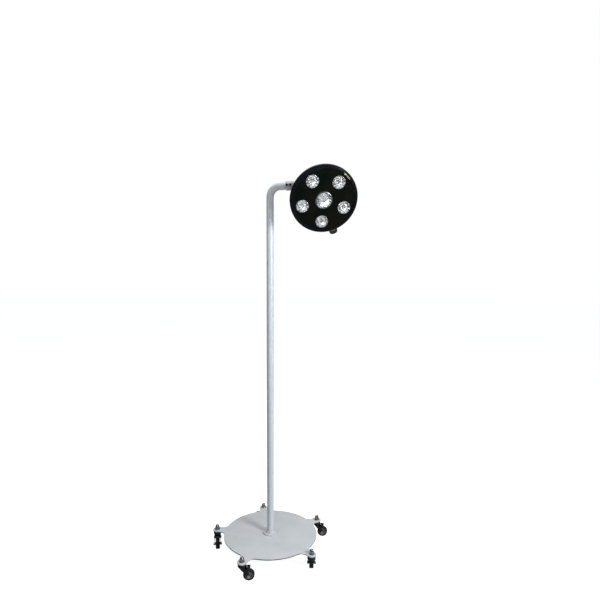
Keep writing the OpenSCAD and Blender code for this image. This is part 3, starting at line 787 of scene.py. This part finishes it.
def tyre_mesh():
    """Rubber tread with rounded shoulders, two fine rain grooves and a raised sidewall ring."""
    half = [(17.5, 0), (17.5, 9.2, 0.3), (19.6, 9.5, 0.8), (20.3, 10, 0.3), (21.6, 10, 0.3), (22.1, 9.6, 0.4),
            (24.9, 8.6, 2.6), (25, 4.2, 0.5), (25, 3.9), (24.55, 3.7), (24.55, 3.3), (25, 3.1), (25, 0)]
    front = rounded(half, 4)
    profile = front + [Vector((p.x, -p.y)) for p in reversed(front[1:-1])]
    return shape(revolve(profile, 144, True))


def make_casters():
    fork, axle, pedal, hub, tyre = fork_mesh(), axle_mesh(), pedal_mesh(), hub_mesh(), tyre_mesh()
    for k in CASTERS:
        low, wheel = caster_frame(k), wheel_frame(k)
        name = f"caster_{k}"
        place(f"{name}_raked_fork", fork, low, f"{name}_swivel", "caster_black", f"{name}_fork")
        place(f"{name}_hex_axle", axle, wheel, f"{name}_swivel", "screw_steel", f"{name}_axle")
        place(f"{name}_brake_pedal", pedal, low, f"{name}_brake", "pedal_black", f"{name}_pedal")
        place(f"{name}_ribbed_hub", hub, wheel, f"{name}_wheel", "hub_plastic", f"{name}_hub")
        place(f"{name}_rubber_tyre", tyre, wheel, f"{name}_wheel", "tyre_rubber", f"{name}_tyre")


# ---------- arm and pan joint ----------

SPINDLE_BORE = 8.05


def make_sleeve():
    """Clamping sleeve over the end of the pole, with two turned grooves."""
    low, high = local_box("arm_sleeve", ARM)
    start, end, r = low.z, high.z, high.x
    mouth, inner = POLE_R + 0.05, 14.45
    middle = POLE_HIGH.x
    profile = rounded([(mouth, start, 0.4), (r - 0.8, start, 0.4), (r, start + 1.2, 0.8), (r, start + 4, 0.2),
                       (r - 0.5, start + 4.3, 0.2), (r - 0.5, start + 5, 0.2), (r, start + 5.3, 0.2),
                       (r, end - 6.3, 0.2), (r - 0.5, end - 6, 0.2), (r - 0.5, end - 5.3, 0.2),
                       (r, end - 5, 0.2), (r, end - 2.8, 1), (r - 3, end, 0.8), (inner, end, 0.4),
                       (inner, middle), (mouth, middle)], 3)
    sleeve = shape(revolve(profile, 128, True))
    place("grooved_arm_sleeve", sleeve, ARM, "base", "sleeve_metal", "arm_sleeve")


def key_hole(socket, z):
    """Section of a hexagon socket."""
    return lambda angle: (hexagon(socket, z, socket * 2)(angle)[0], z)


def cap_screw(radius, height, socket, shank, length):
    """Socket head screw along +Z: knurled head up from 0, shank down."""
    def knurl(r, z):
        return lambda a: (r + 0.12 * math.cos(24 * a), z)
    floor = height - height * 0.55
    return revolve([(0, -length), (shank * 0.8, -length), (shank, -length + 0.5), (shank, 0),
                    (radius - 0.3, 0), knurl(radius - 0.12, 0.3), knurl(radius - 0.12, height - 0.9),
                    (radius - 0.4, height - 0.2), (radius - 0.8, height), (socket + 0.35, height),
                    key_hole(socket, height - 0.15), key_hole(socket, floor), (0, floor)], 96)


def button_screw(radius, height, socket, shank, length):
    """Low round head screw along +Z: head up from 0, shank down."""
    crown = [(radius * math.cos(a), height * math.sin(a)) for a in (0.15, 0.4, 0.7, 0.95)]
    return revolve([(0, -length), (shank, -length), (shank, 0), (radius * 0.98, 0), *crown,
                    (socket + 0.25, height), key_hole(socket, height - 0.1),
                    key_hole(socket, height * 0.4), (0, height * 0.4)], 72)


def make_sleeve_screws():
    low, high = local_box("sleeve_screws")
    seat = -low.y - 3
    screws = []
    for x in (low.x + 5, high.x - 5):
        screws.append(moved(cap_screw(5, 3, 2.3, 3, 2.6), shift(x, -seat, ARM_H) @ spin(90, "X")))
    place("sleeve_cap_screws", shape(joined(*screws)), Matrix(), "base", "black_screw", "sleeve_screws")


def make_arm():
    """Inner arm with the eye that holds the pan spindle, and the weld bead between them."""
    low, high = local_box("head_arm")
    reach = where("head_pan").x / MM
    eye_r, half = high.x - reach, high.z - ARM_H
    rod_r = 14.4
    rod = revolve([(10, low.x), (rod_r - 0.6, low.x), (rod_r, low.x + 0.6), (rod_r, reach - 12),
                   (10, reach - 12)], 96, True)
    rod = moved(rod, Matrix(((0, 0, 1, 0), (1, 0, 0, 0), (0, 1, 0, ARM_H), (0, 0, 0, 1))))
    profile = rounded([(SPINDLE_BORE, -half, 0.4), (eye_r, -half, 1.5), (eye_r, half, 1.5),
                       (SPINDLE_BORE, half, 0.4)], 4)
    eye = moved(revolve(profile, 96, True), shift(reach, 0, ARM_H))
    bead = bmesh.new()
    steps, around = 120, 10
    rings = []
    for i in range(steps):
        a = TURN * i / steps
        y, z = rod_r * math.cos(a), rod_r * math.sin(a)
        x = reach - math.sqrt(eye_r ** 2 - y ** 2)
        r = 1.9 + 0.16 * math.sin(30 * a)
        centre = Vector((x, y, z + ARM_H))
        out = Vector((-1, y / rod_r, z / rod_r)).normalized()
        across = Vector((0, -math.sin(a), math.cos(a))).cross(out)
        turns = [TURN * j / around for j in range(around)]
        circle = [centre + (out * math.cos(t) + across * math.sin(t)) * r for t in turns]
        rings.append([bead.verts.new(p) for p in circle])
    for i in range(steps):
        for j in range(around):
            bead.faces.new((rings[i - 1][j - 1], rings[i][j - 1], rings[i][j], rings[i - 1][j]))
    bmesh.ops.recalc_face_normals(bead, faces=bead.faces)
    place("welded_arm", shape(joined(rod, eye, bead)), Matrix(), "base", "arm_paint", "head_arm")


def make_pan_joint():
    """Nylon washers, domed cap, forked yoke, tilt bolt and nut."""
    low, high = local_box("pan_washers", PAN)
    discs = [washer(14, SPINDLE_BORE, low.z, low.z + 1.5, 0.4),
             washer(14, 6.05, high.z - 1.5, high.z, 0.4)]
    place("nylon_washers", shape(joined(*discs)), PAN, "pan_joint", "washer_white", "pan_washers")
    low, high = local_box("spindle_cap", PAN)
    cap = dome_nut(NUT_R, DOME_R, 7, high.z - low.z - DOME_R, low.z)
    place("domed_spindle_cap", shape(cap), PAN, "pan_joint", "nut_steel", "spindle_cap")

    low, high = local_box("tilt_fork", PAN)
    drop = (where("head_pan").z - tilt_point.z) / MM
    under, shoulder = high.z - 8.3, drop + high.z - 7.2
    profile = rounded([(SPINDLE_BORE, under, 0.4), (17, under, 1.4), (17, high.z, 1.4),
                       (SPINDLE_BORE, high.z, 0.4)])
    parts = [revolve(profile, 96, True)]
    outline = arc((0, 0), 12, 180, 360, 30) + [Vector((12, shoulder)), Vector((-12, shoulder))]
    for inner in (7, -12):
        cheek = slab(outline, inner, inner + 5, 0.8, [(0, 0, 4.05)])
        parts.append(moved(cheek, shift(0, 0, -drop) @ UPRIGHT))
    place("forked_tilt_yoke", shape(fused(*parts)), PAN, "pan_joint", "arm_paint", "tilt_fork")

    low, high = local_box("tilt_bolt", TILT)
    seat = high.z - 8
    bolt = moved(cap_screw(6.5, 8, 3.4, 4, seat - low.z), shift(0, 0, seat))
    place("tilt_cap_screw", shape(bolt), TILT, "pan_joint", "nut_steel", "tilt_bolt")
    low, high = local_box("tilt_nut", TILT)
    nut = revolve([(4.05, high.z), (6.7, high.z), hexagon(7.5, high.z, 6.7),
                   hexagon(7.5, low.z + 1.6, 6.7, False), (6.4, low.z + 1.4), (6.1, low.z + 0.4),
                   (5.6, low.z), (4.6, low.z), (4.05, low.z + 0.4)], 96, True)
    place("nylon_lock_nut", shape(nut), TILT, "pan_joint", "nut_steel", "tilt_nut")


# ---------- head ----------

HEAD_R = 140
LENS_RING, LENS_N, LENS_TURN = 91, 5, -90
LENS_AT = [(LENS_RING * math.cos(a), LENS_RING * math.sin(a))
           for a in (math.radians(LENS_TURN + 360 / LENS_N * i) for i in range(LENS_N))]


def make_bezel():
    """Front ring: a narrow inner lip, a flat face with a fine step and a big outer rounding."""
    profile = rounded([(126.2, -14), (126.2, 2.2, 0.5), (128.4, 2.5, 0.4), (129.4, 1.5, 0.4), (133, 1.3, 1),
                       (HEAD_R, -2, 7), (HEAD_R, -12.6, 1.2), (138.7, -14, 0.4)], 8)
    place("stepped_bezel", shape(revolve(profile, 192, True)), HEAD, "head", "bezel_black", "front_bezel")


LENS_HOLE_R, CENTRE_HOLE_R = 26, 33


def make_panel():
    holes = [(x, y, LENS_HOLE_R) for x, y in LENS_AT] + [(0, 0, CENTRE_HOLE_R)]
    panel = slab(arc((0, 0), 125.9, 0, 357.5, 143), -3, 0, 0.4, holes)
    place("polished_panel", shape(panel), HEAD, "head", "panel_black", "front_panel")


def facets(rings, closed=False, centre=(0, 0)):
    """Solid about an upright axis with flat facets; a ring is (radius, z, count, turn in facets)."""
    mesh = bmesh.new()
    made = []
    for radius, z, count, turn in rings:
        angles = [TURN * (i + turn) / count for i in range(count)] if radius else [0]
        ring = [(centre[0] + radius * math.cos(a), centre[1] + radius * math.sin(a), z) for a in angles]
        made.append([mesh.verts.new(p) for p in ring])
    last = len(rings) - 1
    pairs = [(i, i + 1) for i in range(last)] + ([(last, 0)] if closed else [])
    for i, j in pairs:
        if len(made[i]) < len(made[j]) or (len(made[i]) == len(made[j]) and rings[i][3] > rings[j][3]):
            i, j = j, i
        a, b = made[i], made[j]
        n = len(a)
        if len(b) == 1:
            loops = [(a[m - 1], a[m], b[0]) for m in range(n)]
        elif n > len(b):
            k = n // len(b)
            loops = [(*(a[(m * k + p) % n] for p in range(k + 1)), b[(m + 1) % len(b)], b[m])
                     for m in range(len(b))]
        elif rings[i][3] == rings[j][3]:
            loops = [(a[m - 1], a[m], b[m], b[m - 1]) for m in range(n)]
        else:
            loops = [(a[m], a[(m + 1) % n], b[m]) for m in range(n)]
            loops += [(a[m], b[m], b[m - 1]) for m in range(n)]
        for loop in loops:
            mesh.faces.new(loop)
    bmesh.ops.recalc_face_normals(mesh, faces=mesh.faces)
    return mesh


def lens(radius, front, dome, depth, tip, n, centre=(0, 0)):
    """Clear moulded lens: facets on the front dome, a round collar, and facets down the cone behind."""
    back = front - depth
    middle = (radius + tip) / 2 + 1.2
    cone = [(0, back + 5, n, 0), (3.5, back + 4.6, n, 0), (4.2, back, n, 0), (tip, back, n, 0),
            (middle - 3, back + depth * 0.35, n, 0.5), (middle + 3.4, back + depth * 0.68, n, 0)]
    rim = [(radius, front - 2, 8 * n, 0), (radius, front, 8 * n, 0),
           (radius - 0.7, front + 0.4, 8 * n, 0)]
    face = [(radius - 1, front + 0.4, n, 0), (radius * 0.72, front + dome * 0.75, n, 0.5),
            (radius * 0.46, front + dome * 0.6, n, 0), (radius * 0.2, front + dome, n, 0.5),
            (0, front + dome * 0.75, n, 0)]
    return facets(cone + rim + face, False, centre)


def cup(radius, depth, tip, n, centre=(0, 0)):
    """Bright cup round a lens, with a round collar, facets inside and a hole for the diode."""
    middle = (radius + tip) / 2 + 1.2
    inside = [(tip + 0.5, -depth, n, 0), (middle - 2.5, -depth * 0.65, n, 0.5),
              (middle + 4, -depth * 0.32, n, 0)]
    collar = [(radius + 0.3, -2.2), (radius + 0.3, 0.1), (radius + 0.8, 0.1), (radius + 0.8, -3.4),
              (radius + 1.6, -3.6), (radius + 1.6, -4)]
    collar = [(r, z, 8 * n, 0) for r, z in collar]
    outside = [(middle + 6, -depth * 0.32, 8 * n, 0), (tip + 2.2, -depth, 8 * n, 0)]
    return facets(inside + collar + outside, True, centre)


OUTER_LENS_R, CENTRE_LENS_R = 25, 31


def make_optics():
    """Six clear lenses, six bright cups and the ring that holds the centre lens."""
    outer = [lens(OUTER_LENS_R, 0.2, 1.8, 21.5, 9, 10, at) for at in LENS_AT]
    place("faceted_outer_lenses", shape(joined(*outer), 12), HEAD, "head", "lens_clear", "outer_lenses")
    centre = lens(CENTRE_LENS_R, 3, 2.4, 24.5, 12, 12)
    place("faceted_centre_lens", shape(centre, 12), HEAD, "head", "lens_clear", "centre_lens")
    cups = [cup(OUTER_LENS_R, 21.5, 9, 10, at) for at in LENS_AT] + [cup(CENTRE_LENS_R, 22, 12, 12)]
    cups = shape(joined(*cups), 12)
    place("faceted_reflector_cups", cups, HEAD, "head", "reflector_silver", "reflectors")
    profile = rounded([(31.3, 0.7), (31.3, 4, 0.3), (32.2, 4.6, 0.5), (35.6, 1.6, 0.6), (35.6, 0.1),
                       (33, 0.1), (33, 0.7)])
    ring = shape(revolve(profile, 144, True))
    place("bevelled_centre_ring", ring, HEAD, "head", "ring_grey", "centre_ring")


def make_badge():
    """Blank curved strip on the bezel."""
    low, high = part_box("badge_strip")
    middle = HEAD.inverted() @ ((low + high) / 2)
    turn = math.degrees(math.atan2(middle.y, middle.x))
    half = math.degrees(17 / 129)
    outline = arc((0, 0), 131.6, turn - half, turn + half, 24)
    outline += arc((0, 0), 127, turn + half, turn - half, 24)
    strip = slab(rounded([(p.x, p.y, 0.8) for p in outline], 1), 1.2, 3.2, 0.35)
    place("blank_badge", shape(strip), HEAD, "head", "badge_blank", "badge_strip")


BACK_Z, SHELL_T = -46, 2.5
DIMMER_Z = -20
FINS = 30
HOUSING_SCREWS = [90 + 72 * i for i in range(5)]
BRACKET_SCREWS = [45 + 90 * i for i in range(4)]
DIMMER_OUT = (HEAD.inverted() @ DIMMER).to_3x3() @ Vector((0, 0, 1))
DIMMER_TURN = math.degrees(math.atan2(DIMMER_OUT.y, DIMMER_OUT.x))


def make_shell():
    """Domed back shell with radial cooling fins and the flat-topped pod of the dimmer."""
    outer = [(0, BACK_Z), (60, BACK_Z, 5), (68, -42.94, 3), (128, -20, 4), (135.9, -17.8, 1.5),
             (138.4, -15.6, 1.2), (138.4, -14)]
    inner = [(135.9, -14), (135.9, -14.8, 1), (127, -17.3, 3), (68, -40.3, 3),
             (60, BACK_Z + SHELL_T, 3), (0, BACK_Z + SHELL_T)]
    parts = [revolve(rounded(outer + inner, 5), 192)]
    pod = [(-6, -15.6), *arc((0, 0), 17, -69, 69, 24), (-6, 15.6)]
    pod = rounded([(p[0], p[1], 0.8) for p in pod], 1)
    base = spin(DIMMER_TURN) @ shift(104, 0, DIMMER_Z) @ spin(90, "Y")
    parts.append(moved(slab(pod, 0, 36, 0.8), base))
    place("domed_back_shell", shape(joined(*parts)), HEAD, "head", "shell_black", "rear_housing")

    fin = rounded([(64.5, -43.4), (64.5, -47, 1), (66.5, -48.6, 1), (69, -48.6, 2), (112, -31.5, 2.5),
                   (114, -28.6, 1), (114, -24.6)], 4)
    blades = []
    for i in range(FINS):
        blade = moved(slab(fin, -1.1, 1.1, 0.5), spin(90, "X"))
        blades.append(moved(blade, spin(360 / FINS * (i + 0.5))))
    place("radial_cooling_fins", shape(joined(*blades)), HEAD, "head", "shell_black")

    seat = shift(131.5, 0, -18.9) @ spin(180, "X")
    heads = [moved(button_screw(3.4, 2.1, 1.2, 1.5, 12), spin(a) @ seat) for a in HOUSING_SCREWS]
    place("rim_screws", shape(joined(*heads)), HEAD, "head", "screw_steel", "housing_screws")


def make_bracket():
    """Round foot screwed to the shell, with a tongue between the yoke's cheeks."""
    foot = revolve(rounded([(0, BACK_Z - 5), (24, BACK_Z - 5, 1.2), (24, BACK_Z, 0.4), (0, BACK_Z)]), 96)
    outline = arc((0, -HEAD_BACK), 11, 180, 360, 28)
    outline += [Vector((11, BACK_Z - 4)), Vector((-11, BACK_Z - 4))]
    tongue = slab(outline, -6.7, 6.7, 0.7, [(0, -HEAD_BACK, 4.05)])
    bracket = shape(fused(foot, moved(tongue, spin(90) @ UPRIGHT)))
    place("hinged_head_bracket", bracket, HEAD, "head", "shell_black", "head_bracket")
    seat = shift(18.4, 0, BACK_Z - 5) @ spin(180, "X")
    heads = [moved(button_screw(4.5, 2.6, 1.7, 2.5, 5), spin(a) @ seat) for a in BRACKET_SCREWS]
    place("foot_screws", shape(joined(*heads)), HEAD, "head", "screw_steel", "bracket_screws")


# ---------- dimmer ----------

def make_dimmer():
    """Light ring on the rim and a fluted knob with a soft outer edge and a pointer mark."""
    low, high = local_box("dimmer_ring", DIMMER)
    profile = rounded([(4.6, low.z), (high.x, low.z, 0.3), (high.x - 0.6, high.z, 0.5), (4.6, high.z)])
    ring = shape(revolve(profile, 96, True))
    place("turned_dimmer_ring", ring, DIMMER, "head", "dimmer_ring_grey", "dimmer_ring")

    low, high = local_box("dimmer_knob", DIMMER)
    start, end, r = low.z, high.z - 0.6, 18

    def fluted(radius, z, depth):
        def section(angle):
            wave = 0.5 + 0.5 * math.cos(18 * angle)
            return radius - depth * wave ** 3, z
        return section
    edge = 5
    sections = [(r - 1.4, start), (r - 0.8, start), (r - 0.2, start + 0.5), (r, start + 1),
                fluted(r, start + 2, 0.5), fluted(r - 0.1, start + 3, 0.8),
                fluted(r - 0.5, end - edge, 0.8)]
    for angle, depth in ((20, 0.75), (40, 0.6), (60, 0.35), (75, 0.12)):
        a = math.radians(angle)
        z = end - edge + edge * math.sin(a)
        sections.append(fluted(r - 0.6 - edge + edge * math.cos(a), z, depth))
    sections += [(r - 0.6 - edge, end), (r - 6.4, end + 0.1), (r - 7, end - 0.3), (r - 7.4, end - 0.3),
                 (r - 8, end + 0.15), (4, end + 0.45), (0, high.z)]
    place("fluted_knob", shape(revolve(sections, 288)), DIMMER, "dimmer", "knob_black", "dimmer_knob")
    mark = slab(bar(-9.4, -4.2, 0.7, 0.6), end - 0.4, end + 0.55, 0.15)
    place("pointer_mark", shape(mark), DIMMER, "dimmer", "washer_white")


for make in (make_plate, make_flange, make_pole, make_gland, make_ear_hardware, make_casters,
             make_sleeve, make_sleeve_screws, make_arm, make_pan_joint,
             make_bezel, make_panel, make_optics, make_badge, make_shell, make_bracket, make_dimmer):
    make()


# ---------- camera, light and floor ----------

EYE = (0.779, -1.928, 1.272)
YAW, PITCH, ROLL = (math.radians(angle) for angle in (18.29, 9.05, 0.52))
COOL_WHITE = (0.92, 0.96, 1.0)


def aim(obj, location, forward, up):
    """Puts an object at a place, looking along `forward`."""
    back = -Vector(forward).normalized()
    x = Vector(up).cross(back).normalized()
    matrix = Matrix((x, back.cross(x), back)).transposed().to_4x4()
    matrix.translation = Vector(location)
    obj.matrix_world = matrix


def add_camera():
    """Below eye height, turned round the pole and pitched a little down."""
    level = Vector((-math.sin(YAW), math.cos(YAW), 0))
    side = Vector((math.cos(YAW), math.sin(YAW), 0))
    forward = level * math.cos(PITCH) - Vector((0, 0, math.sin(PITCH)))
    up = side.cross(forward)
    data = bpy.data.cameras.new("camera")
    data.sensor_width = 36
    data.lens = 27.4
    data.shift_x = 0.0008
    data.shift_y = 0.1
    camera = bpy.data.objects.new("camera", data)
    bpy.context.scene.collection.objects.link(camera)
    aim(camera, EYE, forward, up * math.cos(ROLL) - side * math.sin(ROLL))
    bpy.context.scene.camera = camera


def area_light(name, location, target, width, height, power, colour=(1, 1, 1), spread=180):
    data = bpy.data.lights.new(name, "AREA")
    data.spread = math.radians(spread)
    data.shape = "RECTANGLE"
    data.size, data.size_y = width, height
    data.energy = power
    data.color = colour
    lamp = bpy.data.objects.new(name, data)
    lamp.visible_camera = False
    bpy.context.scene.collection.objects.link(lamp)
    aim(lamp, location, Vector(target) - Vector(location), (0, 1, 0.01))


def add_world():
    """White studio sweep for the camera, softer grey light for everything else."""
    world = bpy.data.worlds.new("studio")
    bpy.context.scene.world = world
    world.use_nodes = True
    nodes, links = world.node_tree.nodes, world.node_tree.links
    nodes["Background"].inputs["Color"].default_value = (*COOL_WHITE, 1)
    nodes["Background"].inputs["Strength"].default_value = 0.15
    white = nodes.new("ShaderNodeBackground")
    white.inputs["Color"].default_value = (1, 1, 1, 1)
    seen = nodes.new("ShaderNodeLightPath")
    mix = nodes.new("ShaderNodeMixShader")
    links.new(seen.outputs["Is Camera Ray"], mix.inputs[0])
    links.new(nodes["Background"].outputs[0], mix.inputs[1])
    links.new(white.outputs[0], mix.inputs[2])
    links.new(mix.outputs[0], nodes["World Output"].inputs["Surface"])


def add_floor():
    """Seamless pale floor, lifted to white in view to keep shadows faint, and bright in clear parts."""
    f = Finish("floor_white", 0.6)
    f.colour(f.blend(f.ramp(f.noise(900, 3), 0, 1), (0.38, 0.38, 0.38), (0.36, 0.36, 0.36)))
    f.shader.inputs["Emission Color"].default_value = (1, 1, 1, 1)
    rays = f.nodes.new("ShaderNodeLightPath").outputs
    seen = f.ramp(rays["Is Camera Ray"], 0, 0.93, (0, 1))
    refracted = f.ramp(rays["Is Transmission Ray"], 0, 0.38, (0, 1))
    f.link(f.calculate("MAXIMUM", seen, refracted), f.shader.inputs["Emission Strength"])
    mesh = bmesh.new()
    bmesh.ops.create_grid(mesh, x_segments=1, y_segments=1, size=60)
    data = mesh_data(mesh, "floor")
    data.materials.append(f.material)
    floor = bpy.data.objects.new("studio_floor", data)
    bpy.context.scene.collection.objects.link(floor)


add_camera()
add_world()
add_floor()
key_spot = spin(-23) @ Vector((3, 0, 2.0))
area_light("key_light", key_spot, (0, 0, 0.9), 0.8, 0.8, 90, COOL_WHITE)
area_light("overhead_softbox", (-0.3, 0.2, 3.6), (-0.3, 0.2, 0), 4, 4, 102)
area_light("low_softbox", (1.3, -2.6, 0.5), (0.3, 0, 1.7), 1.0, 0.8, 1.2, spread=34)
bpy.context.scene.view_settings.view_transform = "Standard"
